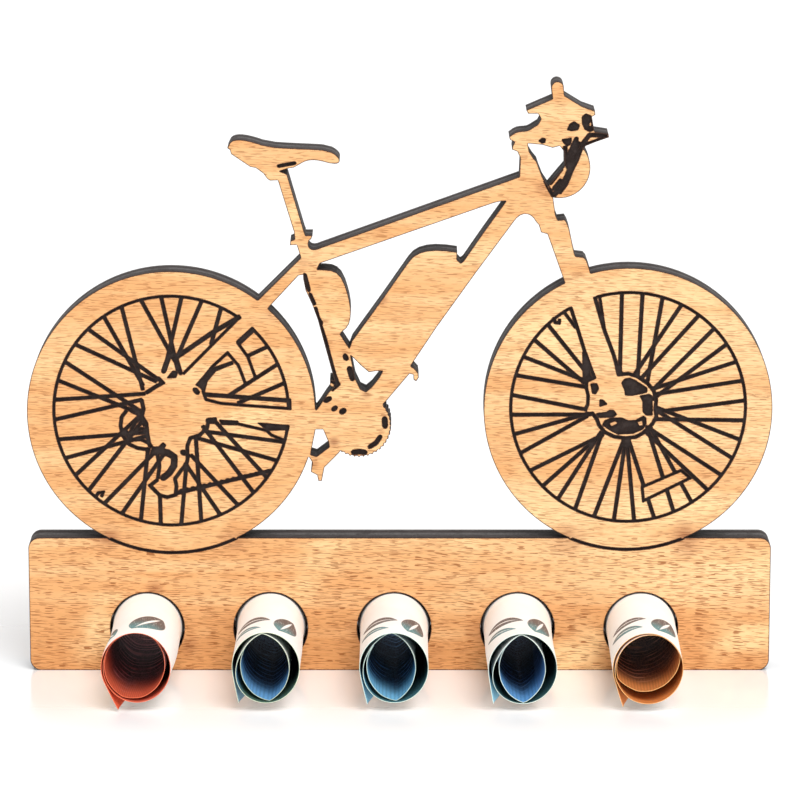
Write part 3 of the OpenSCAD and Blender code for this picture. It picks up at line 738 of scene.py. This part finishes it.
class GiftBoardSetStage(bpy.types.Operator):
    """Lay the pale floor, hang the soft lights and place the camera"""
    bl_idname = "gift_board.set_stage"
    bl_label = "Set Stage"

    def execute(self, context):
        stage = context.scene.gift_board_stage
        half = FLOOR_HALF
        mesh = bpy.data.meshes.new("studio_floor")
        corners = [(-half, -half, 0), (half, -half, 0), (half, half, 0), (-half, half, 0)]
        mesh.from_pydata(corners, [], [(0, 1, 2, 3)])
        mesh.materials.append(floor_material(stage))
        floor = bpy.data.objects.new("studio_floor", mesh)
        context.scene.collection.objects.link(floor)

        soft_sun(context, "key_light", (0.25, -0.62, 0.95), stage.key_strength, 38)
        soft_sun(context, "left_light", (-1.0, -0.45, 0.5), stage.fill_strength, 50)
        soft_sun(context, "right_light", (1.0, -0.4, 0.55), stage.fill_strength, 50)
        context.scene.world = white_room(stage.room)

        data = bpy.data.cameras.new("camera")
        data.lens = CAMERA_LENS
        data.sensor_width = CAMERA_SENSOR
        data.clip_start, data.clip_end = 0.05, 20
        camera = bpy.data.objects.new("camera", data)
        camera.location = CAMERA_PLACE
        camera.rotation_euler = (math.pi / 2 - CAMERA_TILT, 0, 0)
        context.scene.collection.objects.link(camera)
        context.scene.camera = camera
        context.scene.view_settings.view_transform = "Standard"
        return {"FINISHED"}


class GiftBoardPanel(bpy.types.Panel):
    """Sizes, colours and building steps of the gift board"""
    bl_idname = "VIEW3D_PT_gift_board"
    bl_label = "Gift Board"
    bl_space_type = "VIEW_3D"
    bl_region_type = "UI"
    bl_category = "Gift Board"

    def draw(self, context):
        groups = (
            (context.scene.gift_board_wood, GiftBoardFinishPlywood),
            (context.scene.gift_board_notes, GiftBoardRollNotes),
            (context.scene.gift_board_stage, GiftBoardSetStage),
        )
        for settings, operator in groups:
            box = self.layout.box()
            for key in settings.__annotations__:
                box.prop(settings, key)
            box.operator(operator.bl_idname)


CLASSES = (
    GiftBoardWood, GiftBoardNotes, GiftBoardStage, GiftBoardFinishPlywood, GiftBoardRollNotes,
    GiftBoardSetStage, GiftBoardPanel,
)


def register():
    for item in CLASSES:
        bpy.utils.register_class(item)
    bpy.types.Scene.gift_board_wood = bpy.props.PointerProperty(type=GiftBoardWood)
    bpy.types.Scene.gift_board_notes = bpy.props.PointerProperty(type=GiftBoardNotes)
    bpy.types.Scene.gift_board_stage = bpy.props.PointerProperty(type=GiftBoardStage)


def unregister():
    del bpy.types.Scene.gift_board_stage
    del bpy.types.Scene.gift_board_notes
    del bpy.types.Scene.gift_board_wood
    for item in reversed(CLASSES):
        bpy.utils.unregister_class(item)


def main():
    register()
    bpy.ops.gift_board.finish_plywood()
    bpy.ops.gift_board.roll_notes()
    bpy.ops.gift_board.set_stage()


if __name__ == "__main__":
    main()
